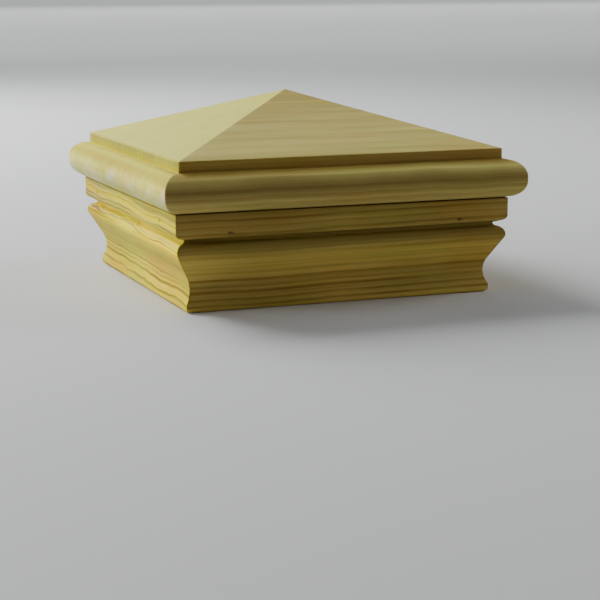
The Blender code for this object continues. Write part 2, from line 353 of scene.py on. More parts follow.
class Nodes:
    """A material's nodes, made one line at a time."""

    def __init__(self, name):
        self.material = bpy.data.materials.new(name)
        self.material.use_nodes = True
        self.tree = self.material.node_tree
        self.shader = self.tree.nodes["Principled BSDF"]

    def feed(self, socket, value):
        """Links an output to the socket, or sets its value."""
        if isinstance(value, bpy.types.NodeSocket):
            self.tree.links.new(value, socket)
        elif isinstance(value, (tuple, list)) and len(value) == 3 and socket.type == "RGBA":
            socket.default_value = (*value, 1)
        else:
            socket.default_value = value

    def add(self, kind, inputs, output=0, **settings):
        """A node of this kind with these settings and inputs. Returns one of its outputs."""
        node = self.tree.nodes.new("ShaderNode" + kind)
        for key, value in settings.items():
            setattr(node, key, value)
        for key, value in inputs.items():
            self.feed(node.inputs[key], value)
        return node.outputs[output]

    def surface(self, name, value):
        """Sets one of the shader's inputs."""
        self.feed(self.shader.inputs[name], value)

    # Numbers and vectors

    def math(self, operation, first, second=0.0, third=0.0, clamp=False):
        """One step of arithmetic on numbers."""
        values = {0: first, 1: second, 2: third}
        return self.add("Math", values, operation=operation, use_clamp=clamp)

    def times(self, first, second):
        """The product of two numbers."""
        return self.math("MULTIPLY", first, second)

    def varied(self, base, noise, amount):
        """The base moved by how far the noise is from its mean of a half, times an amount."""
        return self.math("MULTIPLY_ADD", self.math("SUBTRACT", noise, 0.5), amount, base)

    def vector(self, operation, first, second=(0, 0, 0), output=0):
        """One step of arithmetic on vectors."""
        return self.add("VectorMath", {0: first, 1: second}, output, operation=operation)

    def parts(self, vector):
        """The x, y and z of a vector."""
        node = self.tree.nodes.new("ShaderNodeSeparateXYZ")
        self.feed(node.inputs[0], vector)
        return node.outputs

    def grain_place(self):
        """Where the spot lies in the piece's grain coordinates."""
        return self.add("Attribute", {}, output=1, attribute_name="grain")

    def facing(self, axis):
        """How far the surface faces along an axis, either way, from 0 to 1."""
        normal = self.add("NewGeometry", {}, output=1)
        return self.math("ABSOLUTE", self.vector("DOT_PRODUCT", normal, axis, output=1))

    # Masks

    def step(self, value, low, high, at_low, at_high):
        """A smooth step from one height to another as the value goes from low to high."""
        inputs = {0: value, 1: low, 2: high, 3: at_low, 4: at_high}
        return self.add("MapRange", inputs, interpolation_type="SMOOTHSTEP")

    def near(self, value, width):
        """1 where the value is 0, falling to 0 at this width on either side."""
        return self.step(self.math("ABSOLUTE", value), 0.0, width, 1.0, 0.0)

    def near_height(self, z, height, width):
        """1 at this height, falling to 0 at this width above and below."""
        return self.near(self.math("SUBTRACT", z, height), width)

    def above(self, value, low, high):
        """0 below low, 1 above high, smooth in between."""
        return self.step(value, low, high, 0.0, 1.0)

    def below(self, value, low, high):
        """1 below low, 0 above high, smooth in between."""
        return self.step(value, low, high, 1.0, 0.0)

    # Patterns

    def stretch(self, coordinates, scales):
        """The coordinates times a scale for each axis: a pattern gets finer as its scale grows."""
        return self.add("Mapping", {"Vector": coordinates, "Scale": scales})

    def noise(self, coordinates, scale=1.0, detail=2.0, roughness=0.5):
        """Smooth noise between 0 and 1."""
        inputs = {"Vector": coordinates, "Scale": scale, "Detail": detail, "Roughness": roughness}
        return self.add("TexNoise", inputs)

    def ramp(self, value, stops):
        """A colour ramp through (place, colour) stops, where a colour may be one number for a grey."""
        node = self.tree.nodes.new("ShaderNodeValToRGB")
        while len(node.color_ramp.elements) < len(stops):
            node.color_ramp.elements.new(0.5)
        for element, (place, colour) in zip(node.color_ramp.elements, stops):
            grey = not isinstance(colour, tuple)
            element.position = place
            element.color = (colour, colour, colour, 1) if grey else (*colour, 1)
        self.feed(node.inputs[0], value)
        return node.outputs[0]

    def curve(self, value, points):
        """A curve through (place, height) points between 0 and 1, with straight stretches."""
        node = self.tree.nodes.new("ShaderNodeFloatCurve")
        line = node.mapping.curves[0]
        line.points[0].location = (0.0, points[0][1])
        line.points[1].location = (1.0, points[-1][1])
        for place, height in points:
            line.points.new(place, height)
        for point in line.points:
            point.handle_type = "VECTOR"
        node.mapping.update()
        self.feed(node.inputs["Value"], value)
        return node.outputs[0]

    def share_of(self, value, start, span):
        """Where the value lies in a span of millimetres, as a share of it."""
        return self.math("DIVIDE", self.math("SUBTRACT", value, start * MM), span * MM)

    def ring_curve(self, radius, points, highest=1.0):
        """A curve over the ring coordinate, through (millimetres, height) points."""
        share = self.share_of(radius, RING_START, RING_SPAN)
        points = [((place - RING_START) / RING_SPAN, height / highest) for place, height in points]
        return self.curve(share, points)

    def length_curve(self, along, points):
        """A factor up to 2 that varies along the piece, through (millimetres, factor) points."""
        share = self.share_of(along, -LENGTH_SPAN / 2, LENGTH_SPAN)
        points = [(place / LENGTH_SPAN + 0.5, factor / 2) for place, factor in points]
        return self.times(self.curve(share, points), 2.0)

    # Colours

    def mix(self, factor, first, second, blend="MIX"):
        """The first colour turned into the second, or blended with it, by a factor."""
        node = self.tree.nodes.new("ShaderNodeMix")
        node.data_type = "RGBA"
        node.blend_type = blend
        for socket, value in ((0, factor), (6, first), (7, second)):
            self.feed(node.inputs[socket], value)
        return node.outputs[2]

    def tinted(self, colour, tint, where=1.0):
        """The colour times a tint, as far as the mask says."""
        return self.mix(where, colour, tint, "MULTIPLY")

    def shaded(self, colour, factor, where=1.0):
        """The colour times a number, as far as the mask says."""
        return self.tinted(colour, self.add("CombineColor", {0: factor, 1: factor, 2: factor}), where)


def scaled(colour, factor):
    """The colour made lighter or darker by a factor."""
    return tuple(min(1.0, factor * part) for part in colour)


def ring_points(rings):
    """Curve points for growth rings given as (place of the ring's edge, strength, width), in mm."""
    points = []
    for edge, strength, width in sorted(rings):
        points += [(edge - width, 0.0), (edge - 0.45 * width, 0.85 * strength), (edge, strength)]
        points += [(edge + 0.2 * width, 0.0)]
    return points


def ring_place(n, look, spot):
    """How far the spot lies from the pith, beyond the piece's lower edge, with the growth's wander."""
    drift = n.noise(n.stretch(spot.shifted, (26, 9, 9)), detail=1.5, roughness=0.4)
    wobble = n.noise(n.stretch(spot.shifted, (110, 40, 40)), detail=1.0)
    pith_y, pith_z = look["pith"]
    from_y = n.math("SUBTRACT", spot.y, pith_y)
    from_z = n.math("SUBTRACT", spot.z, n.math("MULTIPLY_ADD", spot.x, look["tilt"], pith_z))
    squares = n.math("ADD", n.times(from_y, from_y), n.times(from_z, from_z))
    radius = n.math("SUBTRACT", n.math("SQRT", squares), look["zero"])
    return n.varied(n.varied(radius, drift, look["wander"]), wobble, look["wobble"])


def latewood(n, look, spot):
    """How late in the year the wood grew: fine even rings, and strong ones in chosen places."""
    spacing = look["spacing"]
    inputs = {"W": n.math("DIVIDE", spot.ring, spacing * 2.6), "Scale": 1.0, "Detail": 1.0}
    uneven = n.add("TexNoise", inputs, noise_dimensions="1D")
    year = n.varied(n.math("DIVIDE", spot.ring, spacing), uneven, 1.5)
    number = n.math("ADD", n.math("FLOOR", year), look["seed"])
    strength = n.add("TexWhiteNoise", {"W": number}, noise_dimensions="1D")
    fine = n.ramp(n.math("FRACT", year), [(0.0, 0.0), (0.35, 0.08), (0.7, 0.55), (0.88, 1.0), (1.0, 0.0)])
    fine = n.times(fine, n.add("MapRange", {0: strength, 3: 0.25, 4: 1.0}))
    strong = n.ring_curve(spot.ring, ring_points(look["rings"]))
    breaks = n.noise(n.stretch(spot.shifted, (24, 120, 120)))
    strong = n.times(strong, n.add("MapRange", {0: breaks, 1: 0.3, 2: 0.6, 3: 0.45, 4: 1.0}))
    return n.math("MAXIMUM", n.times(fine, look["fine"]), strong)


def wood_spot(n, look, end_axis):
    """The shaded spot: where it lies in the grain, what the wood is like there, and how it faces."""
    spot = SimpleNamespace()
    seed = look["seed"]
    spot.place = n.grain_place()
    spot.shifted = n.vector("ADD", spot.place, (seed * 0.37, seed * 0.11, seed * 0.23))
    spot.x, spot.y, spot.z = n.parts(spot.place)
    spot.ring = ring_place(n, look, spot)
    spot.lateness = latewood(n, look, spot)
    spot.fine_fibre = n.noise(n.stretch(spot.shifted, (26, 1500, 1500)), detail=3.0, roughness=0.6)
    spot.wide_fibre = n.noise(n.stretch(spot.shifted, (11, 330, 330)), detail=2.5, roughness=0.55)
    spot.facing = n.facing(end_axis)
    spot.end = n.above(spot.facing, 0.35, 0.85)
    wide = n.math("ABSOLUTE", spot.x)
    deep = n.math("ABSOLUTE", spot.y)
    spot.across = n.math("MAXIMUM", wide, deep)
    spot.diagonal = n.math("SUBTRACT", wide, deep)
    return spot


def grain_colour(n, look, spot):
    """Early and late wood with streaks along the fibres, toned by ring and by length: the tones hold
    painted light and shade as well as the wood's own tone.
    """
    streak = look["streak"]
    richness = n.ring_curve(spot.ring, look["rich_zones"])
    colour = n.mix(spot.lateness, n.mix(richness, look["early"], look["rich"]), look["late"])
    streaks = n.varied(n.varied(1.0, spot.wide_fibre, 0.5 * streak), spot.fine_fibre, 0.34 * streak)
    colour = n.shaded(colour, streaks)
    red_part = n.times(n.ring_curve(spot.ring, look["tones"], highest=2.0), 2.0)
    red_part = n.times(red_part, n.length_curve(spot.x, look["along"]))
    green_part = n.math("POWER", red_part, 1 + look["redden"])
    blue_part = n.math("POWER", red_part, 1 + 1.35 * look["redden"])
    return n.tinted(colour, n.add("CombineColor", {0: red_part, 1: green_part, 2: blue_part}))


def add_canals_and_patches(n, look, spot, colour):
    """Resin canals as short dashes, and soft patches: warmer, or greener from the preservative."""
    canals = n.add("TexVoronoi", {"Vector": n.stretch(spot.shifted, (160, 1300, 1300)), "Scale": 1.0})
    dash = n.times(n.math("LESS_THAN", canals, 0.13), n.above(spot.wide_fibre, 0.5, 0.62))
    colour = n.mix(n.times(dash, 0.3), colour, scaled(look["late"], 0.45))
    warm = n.noise(n.stretch(spot.shifted, (22, 70, 70)), detail=3.0, roughness=0.55)
    green = n.noise(n.stretch(spot.shifted, (17, 120, 120)), 1.7, detail=3.0, roughness=0.55)
    colour = n.tinted(colour, look["warm_tint"], n.times(n.above(warm, 0.45, 0.68), look["warm"]))
    return n.tinted(colour, (0.84, 0.98, 0.72), n.times(n.above(green, 0.45, 0.68), look["green"]))


def add_moulding_details(n, look, spot, colour):
    """A moulding's hidden faces, ends tinted with painted light and shade, darker mitres, and painted shade
    along its lip and in its groove.
    """
    if "inside" in look:
        within = n.below(n.math("ABSOLUTE", spot.y), SOCKET_HALF + 1 * MM, SOCKET_HALF + 6 * MM)
        within = n.math("MAXIMUM", within, n.below(spot.z, 0.1 * MM, 0.4 * MM))
        colour = n.mix(within, colour, n.mix(spot.lateness, look["inside"], SKIRT_LOOK["late"]))
        far = n.times(n.below(spot.x, -45 * MM, 5 * MM), n.above(spot.z, 26 * MM, 28 * MM))
        colour = n.tinted(colour, look["far_tint"], far)
    # Painted light and shade towards an end: the groove darker or lighter, and a highlight on the nose.
    for sign, height, reach, tint in look.get("end_tints", ()):
        where = n.above(n.times(spot.x, sign), 0.0, 50 * MM)
        where = n.times(where, n.near_height(spot.z, height * MM, reach * MM))
        colour = n.tinted(colour, tint, where)
    colour = n.mix(n.times(n.near(spot.diagonal, 0.8 * MM), 0.18), colour, scaled(look["late"], 0.5))
    # Painted shade: a dark line along the top edge, under the top piece, and dark in the groove under the
    # band.
    lip = n.near_height(spot.z, SKIRT_TOP, 0.7 * MM)
    groove = n.near_height(spot.z, QUIRK[1] + 0.1 * MM, 1.5 * MM)
    groove = n.times(groove, n.below(spot.across, 61.2 * MM, 63.6 * MM))
    shade = n.math("MAXIMUM", n.times(lip, 0.7), n.times(groove, look["crease"]))
    return n.mix(shade, colour, scaled(look["late"], 0.3))


def end_grain(n, look, spot, patch, right_side):
    """The colour of the top's ends: short upright tufts, in stained and faded patches."""
    tuft = n.noise(n.stretch(spot.shifted, (200, 620, 60)), roughness=0.7)
    broad = n.noise(n.stretch(spot.shifted, (60, 62, 120)), detail=2.5)
    tufts = n.math("ADD", n.times(n.math("SUBTRACT", tuft, 0.5), n.above(broad, 0.3, 0.6)), 1.0)
    share = n.math("DIVIDE", n.math("SUBTRACT", spot.z, TOP_LOW.z), END_SPAN * MM)
    colour = n.ramp(share, [(place / END_SPAN, tint) for place, tint in look["end_zones"]])
    colour = n.mix(n.times(spot.lateness, 0.3), colour, look["late"])
    low = n.below(spot.z, 44 * MM, 48.5 * MM)
    stained = n.mix(low, (0.88, 0.90, 0.6), (1.0, 0.93, 1.8))
    colour = n.tinted(colour, stained, n.above(broad, 0.44, 0.58))
    faded = n.mix(low, (1.02, 0.88, 0.9), (0.98, 0.90, 0.6))
    colour = n.tinted(colour, faded, n.above(patch, 0.48, 0.6))
    colour = n.mix(n.times(right_side, 0.75), colour, look["end_right"])
    value = n.times(n.varied(tufts, broad, 0.7), n.length_curve(spot.y, look["end_along"]))
    return n.shaded(colour, value)


def add_top_details(n, look, spot, colour):
    """The top's slopes, with painted cool light on the left one, and end grain; a tint on the left end's
    ledge; painted shade at the ledge and step, and painted light along the bullnose, on the front and back.
    """
    ledge = TOP_LOW.z + BULLNOSE_HEIGHT
    step_top = ledge + STEP_HEIGHT
    right_side = n.above(spot.x, -5 * MM, 5 * MM)
    long_side = n.below(spot.diagonal, -0.4 * MM, 0.4 * MM)
    patch = n.noise(n.stretch(spot.shifted, (60, 60, 140)))

    # The left slope's greener colour paints the cool light that falls on it.
    slope = n.mix(right_side, look["slope_colour"], look["slope_right"])
    slope = n.shaded(slope, n.varied(1.0, patch, 0.25))
    colour = n.mix(n.times(n.above(spot.facing, 0.15, 0.29), 0.75), colour, slope)
    colour = n.mix(n.times(spot.end, 0.92), colour, end_grain(n, look, spot, patch, right_side))

    # Painted shade on the riser of the step, on the front and back.
    step = n.times(n.above(spot.z, ledge - 0.2 * MM, ledge + 0.5 * MM),
                   n.below(spot.z, step_top - 0.2 * MM, step_top + 0.3 * MM))
    colour = n.tinted(colour, look["step_painted_shade"], n.times(step, n.math("SUBTRACT", 1.0, spot.end)))
    # Painted shade in the corner where the ledge meets the riser, on the front and back.
    corner = n.near_height(spot.z, ledge - 0.2 * MM, 1.6 * MM)
    colour = n.tinted(colour, look["ledge_painted_shade"], n.times(corner, long_side))
    left_end = n.times(n.math("SUBTRACT", 1.0, long_side), n.math("SUBTRACT", 1.0, right_side))
    shelf = n.near_height(spot.z, ledge - 0.4 * MM, 2.2 * MM)
    colour = n.tinted(colour, look["shelf_tint"], n.times(shelf, left_end))
    # Painted light: the bullnose of the front and back grows lighter towards the right end.
    bullnose = n.times(long_side, n.below(spot.z, ledge - 0.5 * MM, ledge + 0.5 * MM))
    colour = n.shaded(colour, n.length_curve(spot.x, look["bullnose_along"]), bullnose)
    hip = n.near(spot.diagonal, 0.9 * MM)
    return n.mix(n.times(hip, 0.2), colour, scaled(look["early"], 1.15))


def add_bruises(n, look, spot, colour, marks):
    """Bruised fibres round the brads."""
    for mark in marks:
        apart = n.vector("SUBTRACT", spot.place, tuple(mark))
        away = n.vector("LENGTH", n.vector("MULTIPLY", apart, (0.5, 0.0, 1.0)), output=1)
        stain = n.below(away, 0.3 * MM, 0.85 * MM)
        colour = n.mix(n.times(stain, 0.5), colour, scaled(look["late"], 0.25))
    return colour


def wood_surface(n, spot):
    """Relief and gloss: latewood stands proud and is smoother, fibres and cutter marks are fine."""
    chatter = n.math("SINE", n.times(spot.x, 2 * math.pi / (1.7 * MM)))
    uneven = n.noise(n.stretch(spot.shifted, (45, 70, 70)), detail=1.0)
    height = n.varied(n.times(spot.lateness, 0.35), spot.fine_fibre, 0.9)
    height = n.varied(height, spot.wide_fibre, 0.8)
    height = n.math("MULTIPLY_ADD", chatter, 0.04, height)
    height = n.math("MULTIPLY_ADD", uneven, 1.6, height)
    n.surface("Normal", n.add("Bump", {"Height": height, "Distance": 0.09 * MM}))
    roughness = n.math("MULTIPLY_ADD", spot.lateness, -0.14, n.varied(0.66, spot.fine_fibre, 0.25))
    n.surface("Roughness", n.math("MULTIPLY_ADD", spot.end, 0.12, roughness, clamp=True))
    n.surface("Specular IOR Level", 0.06)


def pine(name, look, add_details, marks=(), end_axis=ACROSS):
    """Pressure-treated pine whose growth rings are cylinders round a wandering pith.

    All places are in the piece's grain coordinates, in metres."""
    n = Nodes(name)
    spot = wood_spot(n, look, end_axis)
    colour = grain_colour(n, look, spot)
    colour = add_canals_and_patches(n, look, spot, colour)
    colour = add_details(n, look, spot, colour)
    n.surface("Base Color", add_bruises(n, look, spot, colour, marks))
    wood_surface(n, spot)
    return n.material


def plywood(name):
    """Rotary-cut veneers: broad wild grain on the faces, and plies that cross on the edges."""
    n = Nodes(name)
    place = n.grain_place()
    _, y, z = n.parts(place)
    warp = n.noise(n.stretch(place, (14, 40, 40)), detail=3.0)
    bands = n.math("FRACT", n.math("MULTIPLY_ADD", warp, 7.0, n.times(y, 30)))
    pale, tan, brown = (0.60, 0.45, 0.18), (0.52, 0.36, 0.12), (0.34, 0.20, 0.05)
    face = n.ramp(bands, [(0.0, pale), (0.7, tan), (0.93, brown), (1.0, pale)])
    ply = n.math("FRACT", n.math("DIVIDE", n.math("SUBTRACT", z, PLATE_LOW.z), PLY_PAIR))
    edge = n.mix(n.math("GREATER_THAN", ply, 0.5), (0.50, 0.37, 0.15), (0.26, 0.16, 0.05))
    fibre = n.noise(n.stretch(place, (30, 1200, 1200)), detail=3.0, roughness=0.6)
    colour = n.shaded(n.mix(n.above(n.facing(UP), 0.4, 0.7), edge, face), n.varied(1.0, fibre, 0.5))
    n.surface("Base Color", colour)
    n.surface("Roughness", n.math("MULTIPLY_ADD", fibre, 0.2, 0.62))
    n.surface("Normal", n.add("Bump", {"Height": fibre, "Distance": 0.08 * MM}))
    n.surface("Specular IOR Level", 0.3)
    return n.material


def galvanised(name, tint=(1, 1, 1)):
    """Dull zinc: faint patches of lighter and darker grain, with a little white bloom."""
    n = Nodes(name)
    place = n.grain_place()
    spangle = n.add("TexVoronoi", {"Vector": place, "Scale": 1500.0}, output=1)
    bloom = n.noise(place, 900.0, detail=4.0, roughness=0.7)
    grain = n.add("SeparateColor", {0: spangle})
    colour = n.ramp(grain, [(0.0, (0.36, 0.37, 0.38)), (1.0, (0.55, 0.56, 0.57))])
    colour = n.mix(n.above(bloom, 0.5, 0.75), colour, (0.62, 0.63, 0.62))
    n.surface("Base Color", n.tinted(colour, tint))
    n.surface("Metallic", 1.0)
    n.surface("Roughness", n.math("MULTIPLY_ADD", bloom, 0.35, 0.22))
    n.surface("Normal", n.add("Bump", {"Height": bloom, "Distance": 0.02 * MM}))
    return n.material


# Wood pieces


def rounded_square(bm, half, z, corner_radius, side_steps=LENGTH_STEPS):
    """A ring of vertices round a square with small round corners, anticlockwise from above."""
    radius = min(corner_radius, half * 0.5)
    ring = []
    for turn in range(4):
        spin = Matrix.Rotation(turn * math.pi / 2, 2)
        for x, y in arc((half - radius, half - radius), radius, 0, 90, step=30):
            flat = spin @ Vector((x, y))
            ring.append(bm.verts.new((flat.x, flat.y, z)))
        for i in range(1, side_steps):
            share = i / side_steps
            flat = spin @ Vector(((half - radius) * (1 - 2 * share), half))
            ring.append(bm.verts.new((flat.x, flat.y, z)))
    return ring


def make_top(surface):
    """The pyramid top, with holes in its underside for the screws."""
    bm = bmesh.new()
    rings = [rounded_square(bm, h, z, CORNER_EASE) for h, z in top_outline()]
    bridge(bm, rings)
    top = mesh_object("pyramid_board", bm)
    rows = [(PILOT_HOLE, 0), (PILOT_HOLE, PILOT_END)]
    carve(top, [bored("plate_screw_" + corner, rows, 24) for corner in CORNERS])
    return finish_piece(top, "pyramid_top", surface)


def slit(angle):
    """The radius of a brad's mouth, which the wood has closed into a slit along the grain."""
    return 0.2 / math.hypot(0.2 * math.cos(angle) / 0.7, math.sin(angle)) * MM


def make_moulding(side, surface):
    """One mitred length of the skirt, with its brad holes and the slots of its staples."""
    outline = moulding_outline()
    inner = shrunk(outline, END_EASE)
    pull = MITRE_GAP / 2
    bm = bmesh.new()
    rings = [[bm.verts.new((-(h - pull), -h, z)) for h, z in inner]]
    for i in range(LENGTH_STEPS + 1):
        share = 2 * i / LENGTH_STEPS - 1
        rings.append([bm.verts.new((share * (h - pull - END_EASE), -h, z)) for h, z in outline])
    rings.append([bm.verts.new((h - pull, -h, z)) for h, z in inner])
    bridge(bm, rings)
    piece = mesh_object("skirt_" + side, bm)
    back = Matrix.Rotation(-side_turn(side), 4, "Z")
    rows = [
        (slit, -4 * MM),
        (slit, -0.2 * MM),
        (BRAD_HEAD + HOLE_GAP, -0.1 * MM),
        (BRAD_HEAD + HOLE_GAP, 0.8 * MM),
        (BRAD_WIRE + HOLE_GAP, 1.4 * MM),
        (BRAD_WIRE + HOLE_GAP, BRAD_HOLE_END),
    ]
    cutters = [bored(f"brad_{side}_{end}", rows, 20, back) for end in ENDS]
    for corner in CORNERS:
        slot = staple_solid("slot", corner, grow=HOLE_GAP, reach=4 * MM)
        slot.matrix_world = back @ slot.matrix_world
        cutters.append(slot)
    carve(piece, cutters)
    return finish_piece(piece, "moulding_" + side, surface, side_turn(side))


def make_plate(surface):
    """The plywood seat, countersunk for the screws and holed for the brads."""
    bm = bmesh.new()
    size = PLATE_HIGH - PLATE_LOW
    bmesh.ops.create_cube(bm, size=1, matrix=Matrix.Diagonal((*size, 1)))
    bmesh.ops.bevel(bm, geom=list(bm.edges), offset=0.4 * MM, segments=2, affect="EDGES", profile=0.5)
    bmesh.ops.translate(bm, verts=bm.verts, vec=(PLATE_LOW + PLATE_HIGH) / 2)
    plate = mesh_object("post_seat_plate", bm)
    rows = [
        (SCREW_HEAD + HOLE_GAP, -4 * MM),
        (SCREW_HEAD + HOLE_GAP, 0.6 * MM),
        (SCREW_HOLE + HOLE_GAP, 3.2 * MM),
        (SCREW_HOLE + HOLE_GAP, 30 * MM),
    ]
    screw_holes = [bored("plate_screw_" + corner, rows, 32) for corner in CORNERS]
    rows = [(BRAD_WIRE + HOLE_GAP, 4 * MM), (BRAD_WIRE + HOLE_GAP, BRAD_HOLE_END)]
    brad_holes = [bored(f"brad_{side}_{end}", rows, 20) for side in SIDES for end in ENDS]
    carve(plate, screw_holes + brad_holes)
    return finish_piece(plate, "seat_plate", surface)


# Fasteners


def make_brad(node, surface):
    """A wire brad with a domed head that has a driver's dimple, and a chiselled end."""
    rows = [
        (0.30 * MM, 0.10 * MM),
        (0.55 * MM, 0.02 * MM),
        (0.85 * MM, 0.06 * MM),
        (0.98 * MM, 0.22 * MM),
        (BRAD_HEAD, 0.48 * MM),
        (0.90 * MM, 0.66 * MM),
        (0.66 * MM, 1.00 * MM),
        (BRAD_WIRE, 1.30 * MM),
        (BRAD_WIRE, 29.6 * MM),
        (0.36 * MM, 30.9 * MM),
        (0.10 * MM, 31.78 * MM),
    ]
    brad = turned(node.replace("brad", "brad_pin"), rows, 20)
    brad.data.transform(standing_at(*line_of(node)))
    return finish_piece(brad, node, surface)


def thread(z):
    """The radius round a screw's thread at depth z, as a function of the angle."""
    taper = min(1.0, max(0.06, (SCREW_END - z) / (6 * MM)))

    def radius(angle):
        phase = (z / THREAD_PITCH - angle / (2 * math.pi)) % 1
        ridge = max(0.0, 1 - abs(phase - 0.5) * 5)
        return (THREAD_CORE + THREAD_RIDGE * ridge**1.3) * taper

    return radius


def square_drive():
    """The hollow in a screw's head, a little narrower at its bottom."""
    bm = bmesh.new()
    sizes = dict(segments=4, radius1=1.75 * MM, radius2=2.0 * MM, depth=5 * MM)
    hollow = bmesh.ops.create_cone(bm, cap_ends=True, **sizes)["verts"]
    bmesh.ops.translate(bm, verts=hollow, vec=(0, 0, -0.2 * MM))
    bmesh.ops.rotate(bm, verts=hollow, matrix=Matrix.Rotation(math.radians(45), 3, "Z"))
    bmesh.ops.rotate(bm, verts=hollow, matrix=Matrix.Rotation(math.pi, 3, "X"))
    return mesh_object("drive", bm)


def make_screw(node, surface):
    """A flat-headed wood screw with a square drive and a sharp helical thread."""
    rows = [
        (3.85 * MM, 0.0),
        (4.02 * MM, 0.06 * MM),
        (4.09 * MM, 0.2 * MM),
        (4.05 * MM, 0.42 * MM),
        (2.6 * MM, 1.9 * MM),
        (1.75 * MM, 2.75 * MM),
        (1.55 * MM, 3.4 * MM),
        (1.55 * MM, 10.2 * MM),
    ]
    for i in range(1, THREAD_STEPS + 1):
        z = THREAD_START + (SCREW_END - THREAD_START) * i / THREAD_STEPS
        rows.append((thread(z), z))
    screw = turned(node.replace("plate_screw", "seat_screw"), rows, 32)
    carve(screw, [square_drive()])
    screw.data.transform(standing_at(*line_of(node)))
    return finish_piece(screw, node, surface)


def staple_solid(name, corner, grow=0.0, reach=0.0):
    """A wire staple under a corner, or with grow the slot that it sits in."""
    low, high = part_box("mitre_staple_" + corner)
    half_crown = 2.9 * MM + grow
    width = 1.25 * MM + 2 * grow
    thick = 1.05 * MM + 2 * grow
    leg = high.z - low.z + grow
    bend = 1.1 * MM
    middle = half_crown - width / 2
    path = [(middle, leg), (middle, leg - 1.2 * MM), (middle, leg / 2), (middle, bend + width / 2)]
    turn_middle = (middle - bend, bend + width / 2 - grow)
    path += arc(turn_middle, bend, 0, -90, step=15)[1:]
    path += [(-h, z) for h, z in reversed(path)]
    bm = bmesh.new()
    rings = []
    for i, point in enumerate(path):
        ahead = Vector(path[min(i + 1, len(path) - 1)]) - Vector(path[max(i - 1, 0)])
        side = Vector((ahead.y, -ahead.x)).normalized() * width / 2
        tip = 0.35 if i in (0, len(path) - 1) else 1.0
        corners = [(1, 1), (-1, 1), (-1, -1), (1, -1)]
        flat = [Vector(point) + side * s * tip for s, _ in corners]
        rings.append([bm.verts.new((f.x, t * thick / 2, f.y)) for f, (_, t) in zip(flat, corners)])
    bridge(bm, rings)
    solid = mesh_object(name, bm)
    if not grow:
        edge = solid.modifiers.new("edge", "BEVEL")
        edge.width = 0.18 * MM
        edge.segments = 2
        edge.limit_method = "ANGLE"
        edge.angle_limit = math.radians(50)
    if reach:
        bm = bmesh.new()
        sizes = Matrix.Diagonal((2 * half_crown, thick, width + reach, 1))
        place = Matrix.Translation((0, 0, (width - reach) / 2))
        bmesh.ops.create_cube(bm, size=1, matrix=place @ sizes)
        mouth = mesh_object("mouth", bm)
        joined = solid.modifiers.new("mouth", "BOOLEAN")
        joined.operation = "UNION"
        joined.solver = "EXACT"
        joined.object = mouth
    graph = bpy.context.evaluated_depsgraph_get()
    solid.data = bpy.data.meshes.new_from_object(solid.evaluated_get(graph), depsgraph=graph)
    solid.modifiers.clear()
    if reach:
        bpy.data.objects.remove(mouth)
    x, y = CORNERS[corner]
    centre = (low + high) / 2
    across = Matrix.Rotation(math.atan2(y, x) + math.pi / 2, 4, "Z")
    solid.matrix_world = Matrix.Translation((centre.x, centre.y, low.z)) @ across
    return solid


def make_staple(corner, surface):
    """A galvanised staple that closes a mitre from below."""
    staple = staple_solid("corner_staple_" + corner, corner)
    staple.data.transform(staple.matrix_world)
    staple.matrix_world = Matrix.Identity(4)
    return finish_piece(staple, "mitre_staple_" + corner, surface)


# Stage


def make_floor():
    """A plain pale floor."""
    bm = bmesh.new()
    bmesh.ops.create_circle(bm, cap_ends=True, segments=96, radius=FLOOR_RADIUS)
    floor = mesh_object("floor", bm)
    floor.location.z = -0.02 * MM  # just clear of the cap
    n = Nodes("pale_floor")
    n.surface("Base Color", (0.62, 0.63, 0.64))
    n.surface("Roughness", 0.75)
    n.surface("Specular IOR Level", 0.2)
    floor.data.materials.append(n.material)


def direction(azimuth, elevation):
    """The unit vector from the cap towards here, in degrees. Azimuth 0 is the front and 90 the right."""
    a, e = math.radians(azimuth), math.radians(elevation)
    return Vector((math.sin(a) * math.cos(e), -math.cos(a) * math.cos(e), math.sin(e)))


def make_softbox(name, azimuth, elevation, distance, size, power):
    """An area light that faces the cap. Returns the lamp."""
    light = bpy.data.lights.new(name, "AREA")
    light.shape = "RECTANGLE"
    light.size, light.size_y = size
    light.energy = power
    lamp = bpy.data.objects.new(name, light)
    bpy.context.scene.collection.objects.link(lamp)
    away = direction(azimuth, elevation)
    lamp.location = LIGHTS_MIDDLE + away * distance
    lamp.rotation_euler = away.to_track_quat("Z", "Y").to_euler()
    return lamp


def make_lights():
    """Soft lights round the cap, and wide ones that face down for the far floor."""
    for settings in CAP_LIGHTS:
        make_softbox(*settings)
    for settings in FLOOR_LIGHTS:
        lamp = make_softbox(*settings)
        lamp.rotation_euler = (0, 0, 0)
        lamp.data.spread = FLOOR_LIGHT_SPREAD


def make_world():
    """A faint cool light from all round."""
    world = bpy.data.worlds.new("studio")
    world.use_nodes = True
    background = world.node_tree.nodes["Background"]
    background.inputs["Color"].default_value = (0.80, 0.86, 0.95, 1)
    background.inputs["Strength"].default_value = 0.02
    bpy.context.scene.world = world


def make_camera():
    """The camera, which stands a little above the cap and to the left of its front."""
    away = direction(CAMERA_AZIMUTH, CAMERA_ELEVATION)
    data = bpy.data.cameras.new("camera")
    data.sensor_width = 36
    data.lens = CAMERA_LENS
    data.clip_end = 60
    camera = bpy.data.objects.new("camera", data)
    bpy.context.scene.collection.objects.link(camera)
    camera.location = CAMERA_AIM + away * CAMERA_DISTANCE
    level = away.to_track_quat("Z", "Y").to_matrix().to_4x4()
    camera.rotation_euler = (level @ Matrix.Rotation(CAMERA_ROLL, 4, "Z")).to_euler()
    bpy.context.scene.camera = camera
